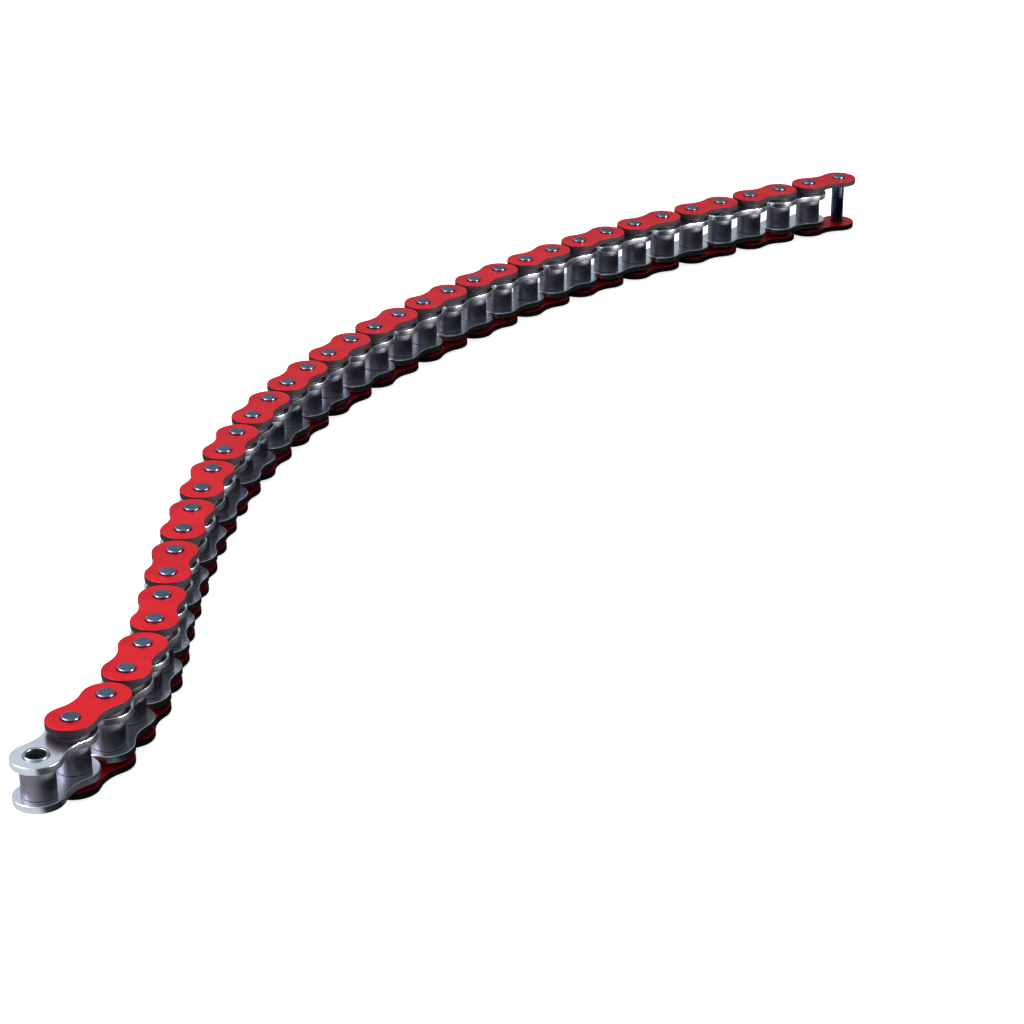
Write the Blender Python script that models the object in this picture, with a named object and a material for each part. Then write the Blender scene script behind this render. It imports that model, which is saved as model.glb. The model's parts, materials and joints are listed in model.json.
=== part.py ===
"""A strand of sealed roller chain, lying on its side with its pins upright.

Links alternate along the strand. An inner link is two plates pressed on two bushings, with a
roller on each bushing. An outer link is two plates pressed on two pins. A pin turns in a bushing,
so each pin but the last is a hinge. Links and pins are numbered from the near end: link 0 is the
open inner link there, and link n lies between pins n and n + 1.

Frame: the floor is z = 0, and the origin is under the middle of the strand's box. The strand
runs away from the near end towards +Y and bends towards +X.
"""

import math

import bmesh
import bpy
import numpy as np
from mathutils import Vector

MM = 0.001

# The strand
LINK_COUNT = 38
PITCH = 15.875 * MM
ROOT_LINK = 19  # the middle link, which the others hang from
HEADINGS = (  # link number and its heading from +X in degrees, read in between by straight lines
    (0, 61.5),
    (1, 60.0),
    (2, 76.0),
    (3, 80.0),
    (5, 88.5),
    (6, 90.0),
    (12, 81.5),
    (20, 59.0),
    (26, 49.0),
    (32, 37.5),
    (37, 30.0),
)
DETAILED_LINKS = 4  # links at the near end that are built piece by piece

# Sizes along the pins
INNER_WIDTH = 9.6 * MM  # between the two inner plates
INNER_PLATE_THICKNESS = 2.4 * MM
OUTER_PLATE_THICKNESS = 2.4 * MM
SEAL_SPACE = 1.5 * MM  # between an inner plate and the outer plate beside it
PIN_STAND_OUT = 0.8 * MM
BUSHING_STAND_OUT = 0.5 * MM

# Plate outlines
INNER_END_GAP = 0.775 * MM  # between the ends of two inner plates in a straight strand
OUTER_END_GAP = 1.175 * MM
WAIST_DEPTH = 1.7 * MM  # how far a plate's edge draws in at the middle

# Round pieces
PIN_RADIUS = 2.7 * MM
BUSHING_WALL = 0.85 * MM
ROLLER_RADIUS = 5.08 * MM
SEAL_WALL = 1.3 * MM

# Clearances
FIT_GAP = 0.1 * MM  # between pieces that are pressed together
RUN_GAP = 0.1 * MM  # between pieces that turn on each other

# Facets
FINE_SIDES, FINE_ARC = 16, 16
PLAIN_SIDES, PLAIN_ARC = 8, 8
PLAIN_RING_SIDES = 10
SHARP_ANGLE = math.radians(50)

# Overlaps between shapes that are cut from or joined to each other
OVERRUN = 1.0 * MM
BITE = INNER_PLATE_THICKNESS / 3

# Heights above the floor, lowest first
LOWER_OUTER = PIN_STAND_OUT
LOWER_INNER = LOWER_OUTER + OUTER_PLATE_THICKNESS + SEAL_SPACE
ROLLER_SPACE = LOWER_INNER + INNER_PLATE_THICKNESS
UPPER_INNER = ROLLER_SPACE + INNER_WIDTH
UPPER_OUTER = UPPER_INNER + INNER_PLATE_THICKNESS + SEAL_SPACE
PIN_TOP = UPPER_OUTER + OUTER_PLATE_THICKNESS + PIN_STAND_OUT

INNER_END_RADIUS = (PITCH - INNER_END_GAP) / 2
OUTER_END_RADIUS = (PITCH - OUTER_END_GAP) / 2


def clear_of(radius, sides):
    """Radius of a faceted bore whose flats stay the running gap away from a shaft."""
    return (radius + RUN_GAP) / math.cos(math.pi / sides)


def bushing_radii():
    bore = clear_of(PIN_RADIUS, FINE_SIDES)
    return bore, bore + BUSHING_WALL


def seal_radii():
    bore = bushing_radii()[1] + FIT_GAP
    return bore, bore + SEAL_WALL


def seal_spans():
    """Lowest and highest point of the seal ring above the inner plates, and of the one below."""
    return {
        "upper": (UPPER_OUTER - SEAL_SPACE + RUN_GAP, UPPER_OUTER - RUN_GAP),
        "lower": (LOWER_INNER - SEAL_SPACE + RUN_GAP, LOWER_INNER - RUN_GAP),
    }


# --- Layout ---------------------------------------------------------------------------------


def heading(link):
    links, degrees = zip(*HEADINGS)
    return math.radians(float(np.interp(link, links, degrees)))


def is_inner(link):
    return link % 2 == 0


def pin_places():
    """Every pin axis in plan, near end first, with the strand's box centred on the origin."""
    places = [Vector((0.0, 0.0))]
    for link in range(LINK_COUNT):
        turn = heading(link)
        places.append(places[-1] + PITCH * Vector((math.cos(turn), math.sin(turn))))
    low, high = Vector((math.inf,) * 2), Vector((-math.inf,) * 2)
    for link in range(LINK_COUNT):
        reach = INNER_END_RADIUS if is_inner(link) else OUTER_END_RADIUS
        for place in places[link : link + 2]:
            low = Vector(map(min, low, place - Vector((reach, reach))))
            high = Vector(map(max, high, place + Vector((reach, reach))))
    return [place - (low + high) / 2 for place in places]


def hinge_frame(link, pins):
    """Where a link's own X axis starts, and its turn: from the pin nearest the root link."""
    if link < ROOT_LINK:
        return pins[link + 1], heading(link) + math.pi
    return pins[link], heading(link)


# --- Shapes ---------------------------------------------------------------------------------


def plate_outline(end_radius, arc_steps):
    """Two round ends, PITCH apart, joined by a shallow hollow waist that runs tangent to them."""
    half = PITCH / 2
    waist = end_radius - WAIST_DEPTH
    hollow = (half**2 + waist**2 - end_radius**2) / (2 * WAIST_DEPTH)
    meet = math.pi - math.atan2(waist + hollow, half)
    ends = [-meet + 2 * meet * step / arc_steps for step in range(arc_steps + 1)]
    points = [(PITCH + end_radius * math.cos(a), end_radius * math.sin(a)) for a in ends]
    points.append((half, waist))
    points += [(-end_radius * math.cos(a), -end_radius * math.sin(a)) for a in ends]
    points.append((half, -waist))
    return points


def circle_outline(radius, sides, centre=0.0):
    turns = [2 * math.pi * (side + 0.5) / sides for side in range(sides)]
    return [(centre + radius * math.cos(a), radius * math.sin(a)) for a in turns]


def add_prism(mesh, outline, low, high, material=0):
    """Adds an upright prism over an outline that runs anticlockwise."""
    floor = [mesh.verts.new((x, y, low)) for x, y in outline]
    roof = [mesh.verts.new((x, y, high)) for x, y in outline]
    faces = [mesh.faces.new(floor[::-1]), mesh.faces.new(roof)]
    for i, corner in enumerate(floor):
        after = (i + 1) % len(floor)
        faces.append(mesh.faces.new((corner, floor[after], roof[after], roof[i])))
    for face in faces:
        face.material_index = material


def mesh_from(name, prisms):
    """One mesh of several prisms, each given as (outline, low, high) or with a material too."""
    work = bmesh.new()
    for prism in prisms:
        add_prism(work, *prism)
    mesh = bpy.data.meshes.new(name)
    work.to_mesh(mesh)
    work.free()
    return mesh


def combined(name, base, steps):
    """Applies (operation, mesh) Booleans to a mesh in turn, and returns the new mesh."""
    body = bpy.data.objects.new(name, base)
    bpy.context.collection.objects.link(body)
    helpers = [body]
    for operation, mesh in steps:
        helper = bpy.data.objects.new(f"{name}_{operation.lower()}", mesh)
        bpy.context.collection.objects.link(helper)
        modifier = body.modifiers.new(operation, "BOOLEAN")
        modifier.operation = operation
        modifier.object = helper
        helpers.append(helper)
    bpy.context.view_layer.update()
    result = bpy.data.meshes.new_from_object(
        body.evaluated_get(bpy.context.evaluated_depsgraph_get())
    )
    result.name = name
    for helper in helpers:
        bpy.data.objects.remove(helper)
    return result


def ring_mesh(name, bore, radius, low, high, sides):
    """A plain tube with square ends."""
    work = bmesh.new()
    outside, inside = (circle_outline(r, sides) for r in (radius, bore))
    loops = [
        [work.verts.new((x, y, z)) for x, y in outline]
        for outline, z in ((outside, low), (outside, high), (inside, high), (inside, low))
    ]
    for loop, following in zip(loops, loops[1:] + loops[:1]):
        for i in range(sides):
            j = (i + 1) % sides
            work.faces.new((loop[i], loop[j], following[j], following[i]))
    mesh = bpy.data.meshes.new(name)
    work.to_mesh(mesh)
    work.free()
    return mesh


def plate_mesh(name, end_radius, hole_radius, low, thickness):
    """One plate of a detailed link, with a hole on each pin axis."""
    blank = mesh_from(name, [(plate_outline(end_radius, FINE_ARC), low, low + thickness)])
    start, end = low - OVERRUN, low + thickness + OVERRUN
    drills = mesh_from(
        f"{name}_drills",
        [(circle_outline(hole_radius, FINE_SIDES, centre), start, end) for centre in (0.0, PITCH)],
    )
    return combined(name, blank, [("DIFFERENCE", drills)])


def joined_outer_mesh():
    """Two outer plates on their two pins, as one body."""
    outline = plate_outline(OUTER_END_RADIUS, PLAIN_ARC)
    plates = mesh_from(
        "outer_link",
        [(outline, low, low + OUTER_PLATE_THICKNESS) for low in (LOWER_OUTER, UPPER_OUTER)],
    )
    pins = mesh_from(
        "outer_link_pins",
        [
            (circle_outline(PIN_RADIUS, PLAIN_SIDES, centre), 0.0, PIN_TOP, 1)
            for centre in (0.0, PITCH)
        ],
    )
    return combined("outer_link", plates, [("UNION", pins)])


def joined_inner_mesh():
    """Two inner plates with their bushings, rollers and seals, as one body with two open bores."""
    outline = plate_outline(INNER_END_RADIUS, PLAIN_ARC)
    bore = clear_of(PIN_RADIUS, PLAIN_SIDES)
    plates = mesh_from(
        "inner_link",
        [(outline, low, low + INNER_PLATE_THICKNESS) for low in (LOWER_INNER, UPPER_INNER)],
    )
    seals = seal_spans()
    seal_radius = seal_radii()[1]
    turned = (
        (ROLLER_RADIUS, ROLLER_SPACE - BITE, UPPER_INNER + BITE, 1),
        (seal_radius, UPPER_INNER + INNER_PLATE_THICKNESS - BITE, seals["upper"][1], 2),
        (seal_radius, seals["lower"][0], LOWER_INNER + BITE, 2),
    )
    rings = mesh_from(
        "inner_link_rings",
        [
            (circle_outline(radius, PLAIN_RING_SIDES, centre), low, high, material)
            for radius, low, high, material in turned
            for centre in (0.0, PITCH)
        ],
    )
    bores = mesh_from(
        "inner_link_bores",
        [(circle_outline(bore, PLAIN_SIDES, centre), 0.0, PIN_TOP, 1) for centre in (0.0, PITCH)],
    )
    return combined("inner_link", plates, [("UNION", rings), ("DIFFERENCE", bores)])


# --- Materials and objects ------------------------------------------------------------------


def make_material(name, colour, roughness, metallic):
    material = bpy.data.materials.new(name)
    material.use_nodes = True
    shader = material.node_tree.nodes["Principled BSDF"]
    shader.inputs["Base Color"].default_value = (*colour, 1.0)
    shader.inputs["Roughness"].default_value = roughness
    shader.inputs["Metallic"].default_value = metallic
    material.diffuse_color = (*colour, 1.0)
    return material


def finish_mesh(mesh, materials):
    mesh.materials.clear()
    for material in materials:
        mesh.materials.append(material)
    mesh.shade_smooth()
    mesh.set_sharp_from_angle(angle=SHARP_ANGLE)


def add_piece(name, mesh, parent=None, along=0.0):
    """Places a piece on its parent's X axis, at one of the link's two pins."""
    piece = bpy.data.objects.new(name, mesh)
    piece.location.x = along
    piece.parent = parent
    bpy.context.collection.objects.link(piece)
    return piece


def add_link_frame(link, pins):
    """An empty on a link's hinge, with X along the link."""
    place, turn = hinge_frame(link, pins)
    frame = bpy.data.objects.new(f"link_frame_{link:02d}", None)
    frame.location = (place.x, place.y, 0.0)
    frame.rotation_euler.z = turn
    frame.empty_display_size = PITCH / 4
    bpy.context.collection.objects.link(frame)
    return frame


# --- Links ----------------------------------------------------------------------------------


def ends_of(link):
    """The two ends of a link along its own X axis, as (word, distance from the hinge)."""
    if link < ROOT_LINK:
        return (("near", PITCH), ("far", 0.0))
    return (("near", 0.0), ("far", PITCH))


def add_detailed_inner(link, number, frame, shapes):
    add_piece(f"inner_plate_upper_{number}", shapes["inner_plate_upper"], frame)
    add_piece(f"inner_plate_lower_{number}", shapes["inner_plate_lower"], frame)
    for word, along in ends_of(link):
        add_piece(f"bushing_{word}_{number}", shapes["bushing"], frame, along)
        add_piece(f"roller_{word}_{number}", shapes["roller"], frame, along)
        pin = link if word == "near" else link + 1
        if pin > 0:  # the strand's first bushing is open, with no pin and no seals
            add_piece(f"seal_upper_pin_{pin}", shapes["seal_upper"], frame, along)
            add_piece(f"seal_lower_pin_{pin}", shapes["seal_lower"], frame, along)


def add_detailed_outer(link, number, frame, shapes):
    add_piece(f"outer_plate_upper_{number}", shapes["outer_plate_upper"], frame)
    add_piece(f"outer_plate_lower_{number}", shapes["outer_plate_lower"], frame)
    for word, along in ends_of(link):
        add_piece(f"pin_{word}_{number}", shapes["pin"], frame, along)


def add_joined(kind, link, number, pins, shapes):
    piece = add_piece(f"{kind}_link_{number}", shapes[f"{kind}_link"])
    place, turn = hinge_frame(link, pins)
    piece.location = (place.x, place.y, 0.0)
    piece.rotation_euler.z = turn


def make_shapes():
    """Every mesh that the links share, each with its materials."""
    red = make_material("red_plate", (0.72, 0.01, 0.02), 0.3, 0.3)
    bright = make_material("bright_steel", (0.66, 0.68, 0.72), 0.25, 1.0)
    grey = make_material("grey_steel", (0.36, 0.36, 0.42), 0.4, 1.0)
    blue = make_material("pin_steel", (0.3, 0.34, 0.42), 0.28, 1.0)
    rubber = make_material("seal_rubber", (0.012, 0.012, 0.014), 0.6, 0.0)
    bore, bushing = bushing_radii()
    shapes, looks = {}, {}
    for name, end_radius, hole, low, thickness, look in (
        ("inner_plate_upper", INNER_END_RADIUS, bushing, UPPER_INNER, INNER_PLATE_THICKNESS, bright),
        ("inner_plate_lower", INNER_END_RADIUS, bushing, LOWER_INNER, INNER_PLATE_THICKNESS, bright),
        ("outer_plate_upper", OUTER_END_RADIUS, PIN_RADIUS, UPPER_OUTER, OUTER_PLATE_THICKNESS, red),
        ("outer_plate_lower", OUTER_END_RADIUS, PIN_RADIUS, LOWER_OUTER, OUTER_PLATE_THICKNESS, red),
    ):
        shapes[name] = plate_mesh(name, end_radius, hole + FIT_GAP, low, thickness)
        looks[name] = (look,)
    shapes["pin"] = mesh_from("pin", [(circle_outline(PIN_RADIUS, FINE_SIDES), 0.0, PIN_TOP)])
    looks["pin"] = (blue,)
    low = LOWER_INNER - BUSHING_STAND_OUT
    high = UPPER_INNER + INNER_PLATE_THICKNESS + BUSHING_STAND_OUT
    shapes["bushing"] = ring_mesh("bushing", bore, bushing, low, high, FINE_SIDES)
    looks["bushing"] = (grey,)
    roller_bore = clear_of(bushing, FINE_SIDES)
    low, high = ROLLER_SPACE + RUN_GAP, UPPER_INNER - RUN_GAP
    shapes["roller"] = ring_mesh("roller", roller_bore, ROLLER_RADIUS, low, high, FINE_SIDES)
    looks["roller"] = (grey,)
    for side, (low, high) in seal_spans().items():
        name = f"seal_{side}"
        shapes[name] = ring_mesh(name, *seal_radii(), low, high, FINE_SIDES)
        looks[name] = (rubber,)
    shapes["outer_link"] = joined_outer_mesh()
    looks["outer_link"] = (red, blue)
    shapes["inner_link"] = joined_inner_mesh()
    looks["inner_link"] = (bright, grey, rubber)
    for name, mesh in shapes.items():
        finish_mesh(mesh, looks[name])
    return shapes


def main():
    for leftover in list(bpy.data.objects):
        bpy.data.objects.remove(leftover)
    shapes = make_shapes()
    pins = pin_places()
    for link in range(LINK_COUNT):
        kind = "inner" if is_inner(link) else "outer"
        number = f"{link // 2 + 1:02d}"
        if link >= DETAILED_LINKS:
            add_joined(kind, link, number, pins, shapes)
        elif is_inner(link):
            add_detailed_inner(link, number, add_link_frame(link, pins), shapes)
        else:
            add_detailed_outer(link, number, add_link_frame(link, pins), shapes)


main()
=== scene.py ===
import json
import math

import bpy
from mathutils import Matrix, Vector


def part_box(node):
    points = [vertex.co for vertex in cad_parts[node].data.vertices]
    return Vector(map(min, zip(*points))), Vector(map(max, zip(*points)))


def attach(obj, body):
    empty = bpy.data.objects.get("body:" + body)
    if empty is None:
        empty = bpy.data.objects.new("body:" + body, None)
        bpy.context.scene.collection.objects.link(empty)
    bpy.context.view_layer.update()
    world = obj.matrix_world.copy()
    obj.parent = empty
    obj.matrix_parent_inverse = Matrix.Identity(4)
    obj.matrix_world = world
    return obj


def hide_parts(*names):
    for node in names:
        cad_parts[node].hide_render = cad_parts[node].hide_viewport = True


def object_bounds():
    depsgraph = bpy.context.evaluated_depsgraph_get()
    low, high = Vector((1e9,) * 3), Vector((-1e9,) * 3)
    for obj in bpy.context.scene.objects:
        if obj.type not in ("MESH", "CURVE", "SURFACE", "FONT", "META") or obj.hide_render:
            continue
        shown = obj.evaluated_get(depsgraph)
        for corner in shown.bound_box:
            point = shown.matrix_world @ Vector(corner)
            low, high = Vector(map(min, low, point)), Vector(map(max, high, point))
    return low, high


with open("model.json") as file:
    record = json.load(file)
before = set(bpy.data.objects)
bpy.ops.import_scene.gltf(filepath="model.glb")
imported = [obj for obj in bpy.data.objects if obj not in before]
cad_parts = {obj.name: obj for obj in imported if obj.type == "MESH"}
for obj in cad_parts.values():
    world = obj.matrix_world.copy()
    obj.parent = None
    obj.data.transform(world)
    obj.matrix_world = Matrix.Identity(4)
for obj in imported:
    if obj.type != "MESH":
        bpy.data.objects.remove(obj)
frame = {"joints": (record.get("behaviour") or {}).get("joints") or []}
cad_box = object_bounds()

MM = 0.001

# --- Sizes ----------------------------------------------------------------------------------

# Places and heights, from the frame
LINK_COUNT = 38
DETAILED_LINKS = 4  # links at the near end with a node for each piece


def middle_of(node):
    low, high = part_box(node)
    return (low + high) / 2


def far_pin(last_joint):
    """The last pin lies as far inside its link's box as the first pin of that link does."""
    low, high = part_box("outer_link_19")
    return high - (last_joint - low)


hinges = {joint["name"]: Vector(joint["pos_m"]) for joint in frame["joints"]}
pins = [middle_of("bushing_near_01")]
pins += [hinges[f"pin_{pin:02d}_hinge"] for pin in range(1, LINK_COUNT)]
pins.append(far_pin(pins[-1]))
pins = [Vector((pin.x, pin.y, 0.0)) for pin in pins]
PITCH = (pins[2] - pins[1]).length

# Radii
INNER_END_RADIUS = 7.53 * MM
OUTER_END_RADIUS = 7.33 * MM
WAIST_DEPTH = 1.7 * MM
PIN_RADIUS = 2.7 * MM
BUSHING_BORE = 2.85 * MM
BUSHING_RADIUS = 3.7 * MM
ROLLER_BORE = 3.86 * MM
ROLLER_RADIUS = 5.06 * MM
SEAL_BORE = 3.8 * MM
SEAL_RADIUS = 5.1 * MM
PRESS_GAP = 0.02 * MM

# Roundings
PLATE_ROUNDING = 0.32 * MM
RING_ROUNDING = 0.25 * MM
MOUTH_FLARE = 0.3 * MM
PIN_ROUNDING = 0.45 * MM
PIN_DOME = 0.05 * MM
BEVEL_ANGLE = math.radians(50)  # edges sharper than this are rounded
BEVEL_STEPS = 2

# A seal's section
LOBE_COUNT = 4
LOBE_DEPTH = 0.16
LOBE_REACH = 0.87  # how far the lobes' tips stand from the middle, for a swell of 1

# How finely the round parts are cut
END_STEPS, WAIST_STEPS, HOLE_STEPS = 22, 6, 20
BUSHING_SIDES, ROLLER_SIDES, SEAL_SIDES, PIN_SIDES = 24, 32, 28, 24
LOBE_STEPS = 16
DOME_STEPS = 3
WELD = 0.002 * MM  # points nearer than this are made one

# Depth of the grain in the finishes
GRAIN_DEPTH = 0.02 * MM


# --- Node trees -----------------------------------------------------------------------------


class Value:
    """A socket that holds a number. Operators on it add Math nodes to its tree."""

    def __init__(self, tree, socket):
        self.tree, self.socket = tree, socket

    def maths(self, operation, *operands):
        node = self.tree.add("ShaderNodeMath", dict(enumerate(operands)), operation=operation)
        return Value(self.tree, node.outputs[0])

    def __add__(self, other):
        return self.maths("ADD", self, other)

    def __sub__(self, other):
        return self.maths("SUBTRACT", self, other)

    def __rsub__(self, other):
        return self.maths("SUBTRACT", other, self)

    def __mul__(self, other):
        return self.maths("MULTIPLY", self, other)

    def __truediv__(self, other):
        return self.maths("DIVIDE", self, other)

    def __neg__(self):
        return self.maths("MULTIPLY", self, -1.0)

    def __pow__(self, power):
        return self.maths("POWER", self, power)

    __radd__ = __add__
    __rmul__ = __mul__

    def above(self, start, end):
        """0 below start, 1 above end, and a straight rise between."""
        rise = self.tree.add(
            "ShaderNodeMapRange", {"Value": self, "From Min": start, "From Max": end}, clamp=True
        )
        return Value(self.tree, rise.outputs["Result"])


class Tree:
    """Adds nodes to a node tree: first a node's settings, then what each socket takes."""

    def __init__(self, tree):
        self.tree = tree

    def add(self, kind, inputs=None, **settings):
        node = self.tree.nodes.new(kind)
        for setting, value in settings.items():
            setattr(node, setting, value)
        for socket, value in (inputs or {}).items():
            for source in value if isinstance(value, list) else [value]:
                self.feed(node.inputs[socket], source)
        return node

    def feed(self, socket, source):
        if isinstance(source, Value):
            source = source.socket
        elif isinstance(source, bpy.types.Node):
            source = source.outputs[0]
        if isinstance(source, bpy.types.NodeSocket):
            self.tree.links.new(source, socket)
        else:
            socket.default_value = source

    def value(self, node, output=0):
        return Value(self, node.outputs[output])

    def vector(self, x=0.0, y=0.0, z=0.0):
        return self.add("ShaderNodeCombineXYZ", {"X": x, "Y": y, "Z": z})


class Shape(Tree):
    """A Geometry Nodes tree that makes one piece and puts it in its place on the strand."""

    def __init__(self, name, sizes):
        super().__init__(bpy.data.node_groups.new(name, "GeometryNodeTree"))
        kinds = {size: "NodeSocketFloat" for size in sizes}
        kinds |= {
            "Place": "NodeSocketVector",
            "Turn": "NodeSocketFloat",
            "Finish": "NodeSocketMaterial",
        }
        for label, kind in kinds.items():
            self.tree.interface.new_socket(label, in_out="INPUT", socket_type=kind)
        self.tree.interface.new_socket("Piece", in_out="OUTPUT", socket_type="NodeSocketGeometry")
        self.given = self.add("NodeGroupInput")
        self.sizes = [self.value(self.given, size) for size in sizes]

    def place(self):
        """Each point's own X, Y and Z."""
        split = self.add("ShaderNodeSeparateXYZ", {"Vector": self.add("GeometryNodeInputPosition")})
        return [self.value(split, axis) for axis in "XYZ"]

    def moved(self, geometry, place, turn=0.0):
        return self.add(
            "GeometryNodeTransform",
            {"Geometry": geometry, "Translation": place, "Rotation": self.vector(z=turn)},
        )

    def joined(self, *geometries):
        return self.add("GeometryNodeJoinGeometry", {"Geometry": list(geometries)})

    def welded(self, geometry):
        return self.add("GeometryNodeMergeByDistance", {"Geometry": geometry, "Distance": WELD})

    def end(self, geometry):
        placed = self.moved(geometry, self.given.outputs["Place"], self.given.outputs["Turn"])
        smooth = self.add("GeometryNodeSetShadeSmooth", {"Geometry": placed})
        real = self.add("GeometryNodeRealizeInstances", {"Geometry": smooth})
        finished = self.add(
            "GeometryNodeSetMaterial", {"Geometry": real, "Material": self.given.outputs["Finish"]}
        )
        self.add("NodeGroupOutput", {"Piece": finished})
        return self.tree


def plate_shape():
    """Two round ends joined by hollow waists that run tangent to them, with a hole at each end."""
    shape = Shape("link plate", ["Pitch", "End radius", "Waist depth", "Hole radius", "Thickness"])
    pitch, end, depth, hole, thickness = shape.sizes
    half = pitch / 2
    waist = end - depth
    hollow = (half * half + waist * waist - end * end) / (2 * depth)
    lean = half.maths("ARCTAN2", waist + hollow, half)
    round_end = shape.add(
        "GeometryNodeCurveArc",
        {
            "Resolution": END_STEPS,
            "Radius": end,
            "Start Angle": lean - math.pi,
            "Sweep Angle": 2 * (math.pi - lean),
        },
        mode="RADIUS",
    )
    hollow_side = shape.add(
        "GeometryNodeCurveArc",
        {
            "Resolution": WAIST_STEPS,
            "Radius": hollow,
            "Start Angle": -lean,
            "Sweep Angle": 2 * lean - math.pi,
        },
        mode="RADIUS",
    )
    half_outline = shape.joined(
        shape.moved(round_end, shape.vector(pitch)),
        shape.moved(hollow_side, shape.vector(half, waist + hollow)),
    )
    other_half = shape.moved(half_outline, shape.vector(pitch), math.pi)
    edges = shape.add("GeometryNodeCurveToMesh", {"Curve": shape.joined(half_outline, other_half)})
    outline = shape.add("GeometryNodeMeshToCurve", {"Mesh": shape.welded(edges)})
    ends = shape.add("GeometryNodeMeshLine", {"Count": 2, "Offset": shape.vector(pitch)})
    rim = shape.add("GeometryNodeCurvePrimitiveCircle", {"Resolution": HOLE_STEPS, "Radius": hole})
    holes = shape.add("GeometryNodeInstanceOnPoints", {"Points": ends, "Instance": rim})
    holes = shape.add("GeometryNodeRealizeInstances", {"Geometry": holes})
    face = shape.add("GeometryNodeFillCurve", {"Curve": shape.joined(outline, holes)}, mode="NGONS")
    raised = shape.add(
        "GeometryNodeExtrudeMesh", {"Mesh": face, "Offset Scale": thickness, "Individual": False}
    )
    under = shape.add("GeometryNodeFlipFaces", {"Mesh": face})
    return shape.end(shape.welded(shape.joined(raised, under)))


def ring_shape():
    """A ring that stands on its end, with rounded edges and a bore that flares at its mouths."""
    shape = Shape(
        "turned ring", ["Bore radius", "Outer radius", "Length", "Rounding", "Flare", "Sides"]
    )
    bore, outer, length, rounding, flare, sides = shape.sizes
    wall = shape.add(
        "GeometryNodeCurvePrimitiveQuadrilateral",
        {"Width": outer - bore, "Height": length},
        mode="RECTANGLE",
    )
    wall = shape.add(
        "GeometryNodeFilletCurve",
        {"Curve": wall, "Count": 2, "Radius": rounding, "Limit Radius": True},
        mode="POLY",
    )
    circle = shape.add(
        "GeometryNodeCurvePrimitiveCircle", {"Resolution": sides, "Radius": (outer + bore) / 2}
    )
    ring = shape.add("GeometryNodeCurveToMesh", {"Curve": circle, "Profile Curve": wall})
    across, along, up = shape.place()
    out = (across * across + along * along) ** 0.5
    to_end = (up.maths("ABSOLUTE", up) - (length / 2 - rounding)) / rounding
    inside = out.maths("LESS_THAN", out, (outer + bore) / 2)
    widen = flare * inside * to_end.above(0.0, 1.0) / out
    opened = shape.add(
        "GeometryNodeSetPosition",
        {"Geometry": ring, "Offset": shape.vector(across * widen, along * widen)},
    )
    return shape.end(shape.moved(opened, shape.vector(z=length / 2)))


def seal_shape():
    """A rubber ring whose section has four lobes."""
    shape = Shape("lobed seal", ["Bore radius", "Outer radius", "Length", "Sides"])
    bore, outer, length, sides = shape.sizes
    round_section = shape.value(shape.add("GeometryNodeSplineParameter"), "Factor")
    lobes = LOBE_COUNT * round_section * (2 * math.pi)
    swell = (1 - LOBE_DEPTH * lobes.maths("COSINE", lobes)) / LOBE_REACH
    section = shape.add(
        "GeometryNodeCurvePrimitiveCircle", {"Resolution": LOBE_STEPS, "Radius": 0.5}
    )
    lobed = shape.add(
        "ShaderNodeVectorMath",
        {
            0: shape.add("GeometryNodeInputPosition"),
            1: shape.vector((outer - bore) * swell, length * swell),
        },
        operation="MULTIPLY",
    )
    section = shape.add("GeometryNodeSetPosition", {"Geometry": section, "Position": lobed})
    circle = shape.add(
        "GeometryNodeCurvePrimitiveCircle", {"Resolution": sides, "Radius": (outer + bore) / 2}
    )
    ring = shape.add("GeometryNodeCurveToMesh", {"Curve": circle, "Profile Curve": section})
    return shape.end(shape.moved(ring, shape.vector(z=length / 2)))


def pin_shape():
    """A plain pin that stands on its end, each end a little domed."""
    shape = Shape("link pin", ["Radius", "Length", "Dome", "Sides"])
    radius, length, dome, sides = shape.sizes
    rod = shape.add(
        "GeometryNodeMeshCylinder",
        {
            "Vertices": sides,
            "Fill Segments": DOME_STEPS,
            "Radius": radius,
            "Depth": length - 2 * dome,
        },
        fill_type="NGON",
    )
    across, along, up = shape.place()
    out = (across * across + along * along) / (radius * radius)
    rise = up.maths("SIGN", up) * dome * (1 - out)
    rod = shape.add("GeometryNodeSetPosition", {"Geometry": rod, "Offset": shape.vector(z=rise)})
    return shape.end(shape.moved(rod, shape.vector(z=length / 2)))


# --- Finishes -------------------------------------------------------------------------------


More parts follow.
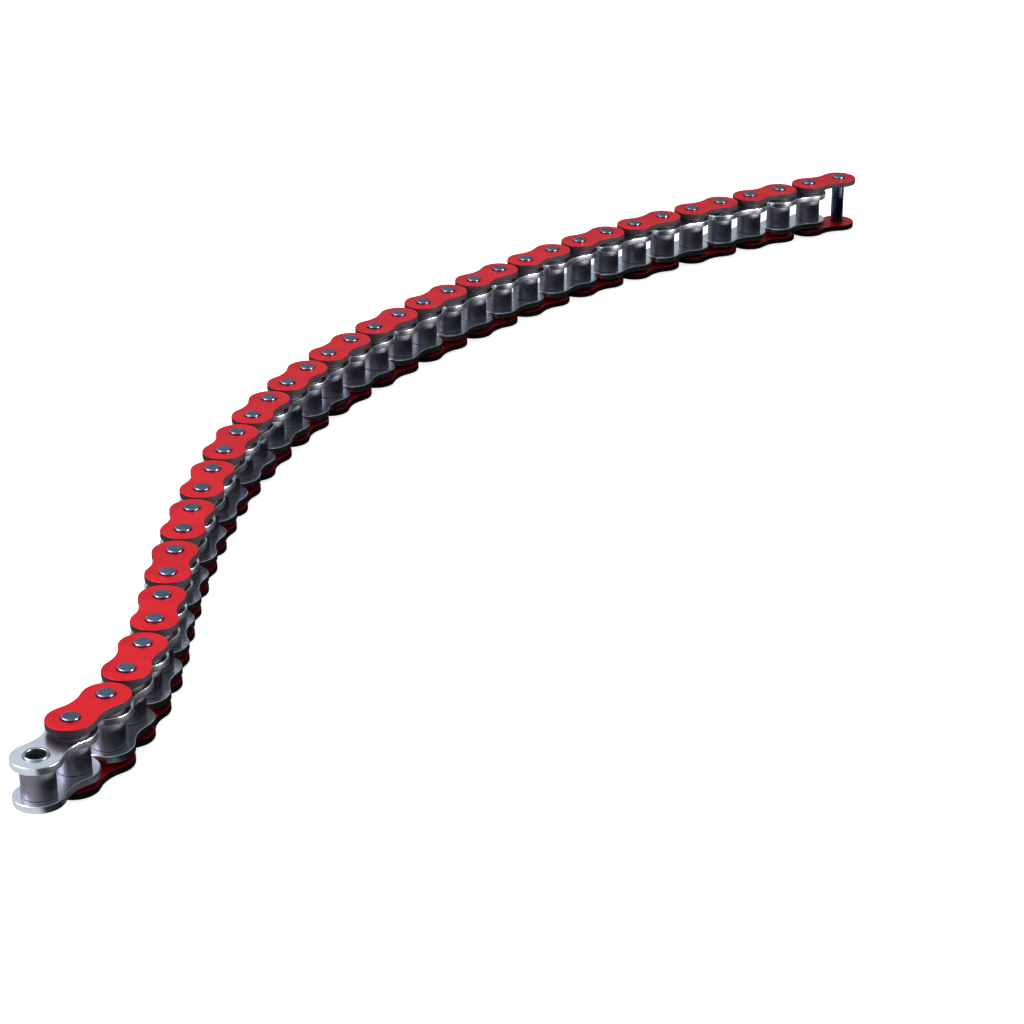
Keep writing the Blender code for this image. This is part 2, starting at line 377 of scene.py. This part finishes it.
class Finish(Tree):
    """A material on the piece's own coordinates, which are the strand's at rest."""

    def __init__(self, name, **constants):
        self.material = bpy.data.materials.new(name)
        self.material.use_nodes = True
        super().__init__(self.material.node_tree)
        self.shader = self.tree.nodes["Principled BSDF"]
        self.place = self.add("ShaderNodeTexCoord").outputs["Object"]
        for socket, value in constants.items():
            self.shader.inputs[socket.replace("_", " ")].default_value = value

    def noise(self, size, detail=2.0, stretch=(1.0, 1.0, 1.0)):
        """Noise from 0 to 1 whose features are about this size, in metres."""
        place = self.add(
            "ShaderNodeMapping", {"Vector": self.place, "Scale": tuple(s / size for s in stretch)}
        )
        return self.value(
            self.add("ShaderNodeTexNoise", {"Vector": place, "Scale": 1.0, "Detail": detail})
        )

    def blend(self, share, first, second):
        """A colour between two, by a share from 0 to 1."""
        node = self.add(
            "ShaderNodeMix",
            {"Factor": share, 6: first, 7: second},
            data_type="RGBA",
        )
        return node.outputs[2]

    def upward(self):
        """1 where the surface faces up, 0 where it stands upright, -1 where it faces down."""
        normal = self.add(
            "ShaderNodeSeparateXYZ", {"Vector": self.add("ShaderNodeNewGeometry").outputs["Normal"]}
        )
        return self.value(normal, "Z")

    def rims(self):
        """1 where the surface turns over an edge, 0 where it lies flat or stands upright."""
        up = self.upward()
        return 1 - (up * up * 2 - 1) ** 2

    def bump(self, height, depth, strength=1.0):
        node = self.add(
            "ShaderNodeBump", {"Height": height, "Distance": depth, "Strength": strength}
        )
        self.feed(self.shader.inputs["Normal"], node.outputs["Normal"])

    def paint(self, colour):
        self.feed(self.shader.inputs["Base Color"], colour)

    def rough(self, roughness):
        self.feed(self.shader.inputs["Roughness"], roughness)


def colour(red, green, blue):
    return (red, green, blue, 1.0)


def red_plating():
    """Red over the faces and round their rims, with painted shade: near-black upright cut edges and
    dark red downward faces.
    """
    finish = Finish("red plating", Specular_IOR_Level=0.12)
    cloud = finish.noise(9 * MM, 3.0)
    grain = finish.noise(0.35 * MM, 2.0)
    red = finish.blend(
        cloud.above(0.35, 0.65), colour(0.82, 0.009, 0.016), colour(0.70, 0.006, 0.018)
    )
    red = finish.blend(grain.above(0.5, 0.8) * 0.3, red, colour(0.48, 0.004, 0.014))
    up = finish.upward()
    # Painted shade: faces turned downward are coloured dark red, as if in shadow.
    red = finish.blend(up.above(-0.3, -0.1), colour(0.06, 0.01, 0.014), red)
    # Painted shade: the upright cut edges are coloured near black and made less metallic, standing
    # in for the shade and dark reflections on them.
    outside_edge_shade = (up * up).above(0.12, 0.4)
    finish.paint(finish.blend(outside_edge_shade, colour(0.022, 0.015, 0.019), red))
    finish.rough(0.5 + 0.12 * cloud - 0.16 * outside_edge_shade)
    finish.feed(finish.shader.inputs["Metallic"], 0.5 * outside_edge_shade)
    finish.bump(grain, GRAIN_DEPTH, 0.35)
    return finish.material


def polished_steel():
    finish = Finish("polished plate steel", Metallic=1.0)
    smear = finish.noise(6 * MM, 4.0)
    dents = finish.noise(0.5 * MM, 2.0)
    base = finish.blend(smear.above(0.35, 0.7), colour(0.90, 0.93, 0.98), colour(0.72, 0.77, 0.85))
    # Painted highlight: rims are coloured lighter, towards near white.
    base = finish.blend(finish.rims() * 0.5, base, colour(0.96, 0.96, 0.96))
    finish.paint(base)
    finish.rough(0.16 + 0.16 * smear)
    finish.bump(dents, GRAIN_DEPTH, 0.35)
    return finish.material


def turned_steel(name, light, dark, rim, smoothest):
    """Steel turned on a lathe: fine rings round it, and rims painted lighter as a highlight."""
    finish = Finish(name, Metallic=1.0)
    smear = finish.noise(5 * MM, 3.0)
    turning = finish.noise(0.35 * MM, 2.0, stretch=(0.02, 0.02, 1.0))
    base = finish.blend(smear.above(0.35, 0.7), light, dark)
    # Painted highlight: rims are coloured lighter, towards the given rim colour.
    base = finish.blend(finish.rims() * 0.6, base, rim)
    finish.paint(base)
    finish.rough(smoothest + 0.16 * turning)
    finish.bump(turning, GRAIN_DEPTH, 0.3)
    return finish.material


def roller_steel():
    return turned_steel(
        "roller steel",
        colour(0.30, 0.285, 0.345),
        colour(0.21, 0.20, 0.245),
        colour(0.48, 0.48, 0.52),
        0.46,
    )


def bushing_steel():
    return turned_steel(
        "bushing steel",
        colour(0.38, 0.39, 0.43),
        colour(0.26, 0.27, 0.31),
        colour(0.55, 0.57, 0.62),
        0.24,
    )


def pin_steel():
    return turned_steel(
        "pin steel",
        colour(0.12, 0.16, 0.25),
        colour(0.07, 0.09, 0.15),
        colour(0.40, 0.46, 0.55),
        0.2,
    )


def seal_rubber():
    finish = Finish("seal rubber", Specular_IOR_Level=0.4)
    grease = finish.noise(1.5 * MM, 3.0)
    base = finish.blend(grease, colour(0.010, 0.010, 0.012), colour(0.035, 0.033, 0.036))
    finish.paint(base)
    finish.rough(0.38 + 0.3 * grease)
    finish.bump(finish.noise(0.15 * MM, 2.0), GRAIN_DEPTH, 0.3)
    return finish.material


# --- Pieces ---------------------------------------------------------------------------------


class Piece:
    """One physical piece of the strand, as it is ordered before it is made."""

    def __init__(self, name, shape, sizes, look, body, node, rounding=0.0):
        self.name, self.shape, self.sizes = name, shape, sizes
        self.slot, self.finish = look
        self.body, self.node, self.rounding = body, node, rounding

    def lay_out(self):
        """The piece's object, with its modifiers set and not yet evaluated."""
        self.object = bpy.data.objects.new(self.name, bpy.data.meshes.new(self.name))
        modifier = self.object.modifiers.new("shape", "NODES")
        modifier.node_group = self.shape
        for item in self.shape.interface.items_tree:
            if item.in_out == "INPUT":
                given = self.finish if item.name == "Finish" else self.sizes[item.name]
                modifier[item.identifier] = given
        if self.rounding:
            bevel = self.object.modifiers.new("rounding", "BEVEL")
            bevel.width = self.rounding
            bevel.segments = BEVEL_STEPS
            bevel.limit_method = "ANGLE"
            bevel.angle_limit = BEVEL_ANGLE
        self.object.modifiers.new("flat faces", "WEIGHTED_NORMAL")
        bpy.context.scene.collection.objects.link(self.object)

    def make(self, graph):
        """The object as a plain mesh on its body, in place of its node."""
        mesh = bpy.data.meshes.new_from_object(self.object.evaluated_get(graph))
        mesh.name = self.name
        self.object.modifiers.clear()
        self.object.data = mesh
        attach(self.object, self.body)
        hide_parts(self.node)


shapes = {"plate": plate_shape(), "ring": ring_shape(), "seal": seal_shape(), "pin": pin_shape()}
looks = {
    "outer plate": ("red_plate", red_plating()),
    "inner plate": ("bright_steel", polished_steel()),
    "bushing": ("grey_steel", bushing_steel()),
    "roller": ("grey_steel", roller_steel()),
    "pin": ("pin_steel", pin_steel()),
    "seal": ("seal_rubber", seal_rubber()),
}


def span(node):
    """The lowest point of a node, and its height."""
    low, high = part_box(node)
    return low.z, high.z - low.z


def plate_sizes(link, low_and_thickness, end_radius, hole):
    low, thickness = low_and_thickness
    along = pins[link + 1] - pins[link]
    return {
        "Pitch": PITCH,
        "End radius": end_radius,
        "Waist depth": WAIST_DEPTH,
        "Hole radius": hole,
        "Thickness": thickness,
        "Place": pins[link] + Vector((0.0, 0.0, low)),
        "Turn": math.atan2(along.y, along.x),
    }


def round_sizes(pin, low_and_length, sides, **sizes):
    low, length = low_and_length
    named = {name.replace("_", " "): size for name, size in sizes.items()}
    return named | {
        "Length": length,
        "Sides": float(sides),
        "Place": pins[pin] + Vector((0.0, 0.0, low)),
        "Turn": 0.0,
    }


def node_for(link, number, detailed_name):
    if link < DETAILED_LINKS:
        return detailed_name
    return f"inner_link_{number}" if link % 2 == 0 else f"outer_link_{number}"


def inner_link(link):
    number = f"{link // 2 + 1:02d}"
    body = f"inner_link_{number}"
    for side in ("upper", "lower"):
        yield Piece(
            f"{side}_inner_plate_{number}",
            shapes["plate"],
            plate_sizes(
                link, span(f"inner_plate_{side}_01"), INNER_END_RADIUS, BUSHING_RADIUS + PRESS_GAP
            ),
            looks["inner plate"],
            body,
            node_for(link, number, f"inner_plate_{side}_{number}"),
            PLATE_ROUNDING,
        )
    for word, pin in (("near", link), ("far", link + 1)):
        yield Piece(
            f"{word}_bushing_{number}",
            shapes["ring"],
            round_sizes(
                pin,
                span("bushing_near_01"),
                BUSHING_SIDES,
                Bore_radius=BUSHING_BORE,
                Outer_radius=BUSHING_RADIUS,
                Rounding=RING_ROUNDING,
                Flare=MOUTH_FLARE,
            ),
            looks["bushing"],
            body,
            node_for(link, number, f"bushing_{word}_{number}"),
        )
        roller = f"roller_{word}_{number}"
        yield Piece(
            f"{word}_roller_{number}",
            shapes["ring"],
            round_sizes(
                pin,
                span("roller_near_01"),
                ROLLER_SIDES,
                Bore_radius=ROLLER_BORE,
                Outer_radius=ROLLER_RADIUS,
                Rounding=RING_ROUNDING,
                Flare=0.0,
            ),
            looks["roller"],
            roller if link < DETAILED_LINKS else body,
            node_for(link, number, roller),
        )
        for side in ("upper", "lower"):
            if pin > 0:  # the first bushing is open and has no seals
                yield Piece(
                    f"{side}_seal_{pin:02d}",
                    shapes["seal"],
                    round_sizes(
                        pin,
                        span(f"seal_{side}_pin_1"),
                        SEAL_SIDES,
                        Bore_radius=SEAL_BORE,
                        Outer_radius=SEAL_RADIUS,
                    ),
                    looks["seal"],
                    body,
                    node_for(link, number, f"seal_{side}_pin_{pin}"),
                )


def outer_link(link):
    number = f"{link // 2 + 1:02d}"
    body = f"outer_link_{number}"
    for side in ("upper", "lower"):
        yield Piece(
            f"{side}_outer_plate_{number}",
            shapes["plate"],
            plate_sizes(
                link, span(f"outer_plate_{side}_01"), OUTER_END_RADIUS, PIN_RADIUS + PRESS_GAP
            ),
            looks["outer plate"],
            body,
            node_for(link, number, f"outer_plate_{side}_{number}"),
            PLATE_ROUNDING,
        )
    for word, pin in (("near", link), ("far", link + 1)):
        yield Piece(
            f"{word}_pin_{number}",
            shapes["pin"],
            round_sizes(pin, span("pin_near_01"), PIN_SIDES, Radius=PIN_RADIUS, Dome=PIN_DOME),
            looks["pin"],
            body,
            node_for(link, number, f"pin_{word}_{number}"),
            PIN_ROUNDING,
        )


ordered = []
for link in range(LINK_COUNT):
    ordered += inner_link(link) if link % 2 == 0 else outer_link(link)
for piece in ordered:
    piece.lay_out()
graph = bpy.context.evaluated_depsgraph_get()
for piece in ordered:
    piece.make(graph)


# --- Stage ----------------------------------------------------------------------------------

# The floor. Places are from the first pin, and each pair runs from no dark to full dark.
FLOOR_REACH = 6.0
FLOOR_LEVEL = -0.05 * MM
FLOOR_GLOW = 0.86
FLOOR_THROWN = (0.55, 0.02)  # light it throws back, outside and inside the strand's bend
BEND_CENTRE = (0.49, 0.08)  # of the circle that the strand lies near
BEND_RADIUS = 0.472
BEND_BLUR = 6 * MM
DARK_ALONG = (-16 * MM, -8 * MM)  # along the strand, inside its bend
DARK_ACROSS = (2 * MM, 8 * MM)  # across the strand, beside its open end
OPEN_END_LENGTH = 20 * MM  # over which the dark beside the open end fades out

# The screen
SCREEN_DISTANCE = 26 * MM
SCREEN_SLANT = -0.4  # how far it stands back along the strand, as a share of its distance
SCREEN_HEIGHT = 17 * MM

# The room's light, by the way that it comes from
ROOM_RISE = (0.05, 0.35)  # from low to high
ROOM_RIGHT = (-0.35, 0.45)  # from left to right
ROOM_LIGHT = 0.03
ROOM_HIGH, ROOM_HIGH_LEFT, ROOM_LEFT = 0.25, 0.45, 0.12
BACKDROP = 1.2

# The camera
SENSOR_WIDTH = 36.0
LENS = 97.93
CAMERA_TILT = 24.529  # degrees below level
CAMERA_PLACE = Vector((8.160, -41.723, 23.323))  # in pitches, from the first pin's top


def make_floor():
    """A pale sheet. It throws little light up inside the bend, where other strands would lie."""
    low, high = cad_box
    middle = (low + high) / 2
    mesh = bpy.data.meshes.new("floor")
    corners = [
        (middle.x + x * FLOOR_REACH, middle.y + y * FLOOR_REACH, FLOOR_LEVEL)
        for x, y in ((-1, -1), (1, -1), (1, 1), (-1, 1))
    ]
    mesh.from_pydata(corners, [], [(0, 1, 2, 3)])
    floor = bpy.data.objects.new("floor", mesh)
    bpy.context.scene.collection.objects.link(floor)
    sheet = bpy.data.materials.new("floor sheet")
    sheet.use_nodes = True
    tree = Tree(sheet.node_tree)
    sheet.node_tree.nodes.clear()
    lit = tree.add("ShaderNodeBsdfDiffuse", {"Color": colour(0.93, 0.93, 0.93)})
    glow = tree.add("ShaderNodeEmission", {"Color": colour(1.0, 1.0, 1.0), "Strength": FLOOR_GLOW})
    seen = tree.add("ShaderNodeAddShader", {0: lit, 1: glow})
    split = tree.add(
        "ShaderNodeSeparateXYZ", {"Vector": tree.add("ShaderNodeTexCoord").outputs["Object"]}
    )
    across, along = tree.value(split, "X"), tree.value(split, "Y")
    start = pins[0]
    to_centre = (start.x + BEND_CENTRE[0] - across) ** 2 + (start.y + BEND_CENTRE[1] - along) ** 2
    inside = 1 - (to_centre**0.5).above(BEND_RADIUS - BEND_BLUR, BEND_RADIUS + BEND_BLUR)
    inside = inside * along.above(*(start.y + edge for edge in DARK_ALONG))
    before = 1 - along.above(start.y, start.y + OPEN_END_LENGTH)
    beside = before * across.above(*(start.x + edge for edge in DARK_ACROSS))
    inside = inside.maths("MAXIMUM", inside, beside)
    bright, dark = FLOOR_THROWN
    thrown = tree.add("ShaderNodeBsdfDiffuse", {"Color": bright + (dark - bright) * inside})
    straight = tree.add("ShaderNodeLightPath").outputs["Is Camera Ray"]
    mixed = tree.add("ShaderNodeMixShader", {0: straight, 1: thrown, 2: seen})
    tree.add("ShaderNodeOutputMaterial", {"Surface": mixed})
    mesh.materials.append(sheet)


def make_screen():
    """A low black screen inside the bend, where the next strand would stand. It is never seen."""
    mesh = bpy.data.meshes.new("screen")
    aside = Vector((SCREEN_DISTANCE, SCREEN_SLANT * SCREEN_DISTANCE, 0.0))
    line = [3 * pins[0] - 2 * pins[1]] + pins  # begins two pitches before the first pin
    foot = [pin + aside for pin in line]
    top = [pin + Vector((0.0, 0.0, SCREEN_HEIGHT)) for pin in foot]
    steps = range(len(line) - 1)
    faces = [(i, i + 1, i + 1 + len(line), i + len(line)) for i in steps]
    mesh.from_pydata(foot + top, [], faces)
    screen = bpy.data.objects.new("screen", mesh)
    bpy.context.scene.collection.objects.link(screen)
    screen.visible_camera = False
    black = bpy.data.materials.new("screen black")
    black.use_nodes = True
    tree = Tree(black.node_tree)
    black.node_tree.nodes.clear()
    cloth = tree.add("ShaderNodeBsdfDiffuse", {"Color": colour(0.015, 0.016, 0.017)})
    tree.add("ShaderNodeOutputMaterial", {"Surface": cloth})
    mesh.materials.append(black)


def make_softbox(name, place, target, width, height, power, spread):
    light = bpy.data.lights.new(name, "AREA")
    light.shape = "RECTANGLE"
    light.size, light.size_y = width, height
    light.energy = power
    light.spread = math.radians(spread)
    box = bpy.data.objects.new(name, light)
    box.location = place
    box.rotation_euler = (Vector(target) - Vector(place)).to_track_quat("-Z", "Y").to_euler()
    bpy.context.scene.collection.objects.link(box)


def make_surroundings():
    """A room lit from the left and above, white behind the floor's far edge."""
    world = bpy.data.worlds.new("room")
    world.use_nodes = True
    bpy.context.scene.world = world
    tree = Tree(world.node_tree)
    world.node_tree.nodes.clear()
    direction = tree.add(
        "ShaderNodeSeparateXYZ", {"Vector": tree.add("ShaderNodeTexCoord").outputs["Generated"]}
    )
    rise = tree.value(direction, "Z").above(*ROOM_RISE)
    left = 1 - tree.value(direction, "X").above(*ROOM_RIGHT)
    lit = ROOM_LIGHT + rise * (ROOM_HIGH + ROOM_HIGH_LEFT * left) + ROOM_LEFT * left
    room = tree.add("ShaderNodeBackground", {"Color": colour(0.84, 0.92, 1.0), "Strength": lit})
    white = tree.add("ShaderNodeBackground", {"Color": colour(1.0, 1.0, 1.0), "Strength": BACKDROP})
    straight = tree.add("ShaderNodeLightPath").outputs["Is Camera Ray"]
    mixed = tree.add("ShaderNodeMixShader", {0: straight, 1: room, 2: white})
    tree.add("ShaderNodeOutputWorld", {"Surface": mixed})


def make_camera():
    """Looks along the strand from past its near end, from above and with no roll."""
    data = bpy.data.cameras.new("camera")
    data.sensor_width = SENSOR_WIDTH
    data.lens = LENS
    data.clip_end = 50.0
    camera = bpy.data.objects.new("camera", data)
    pin_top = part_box("pin_near_01")[1].z
    camera.location = pins[0] + PITCH * CAMERA_PLACE
    camera.location.z += pin_top
    camera.rotation_euler = (math.radians(90 - CAMERA_TILT), 0.0, 0.0)
    bpy.context.scene.collection.objects.link(camera)
    bpy.context.scene.camera = camera


make_floor()
make_screen()
make_softbox("key softbox", (-0.95, -0.4, 0.72), (-0.2, -0.35, 0.0), 0.6, 0.6, 5.8, 120)
make_softbox("front fill", (-0.75, -1.2, 0.3), (-0.1, -0.2, 0.0), 0.5, 0.3, 1.0, 180)
make_softbox("side strip", (1.0, -0.45, 0.12), (-0.08, -0.1, 0.0), 0.4, 0.14, 30.0, 180)
make_surroundings()
make_camera()
bpy.context.scene.view_settings.view_transform = "Standard"
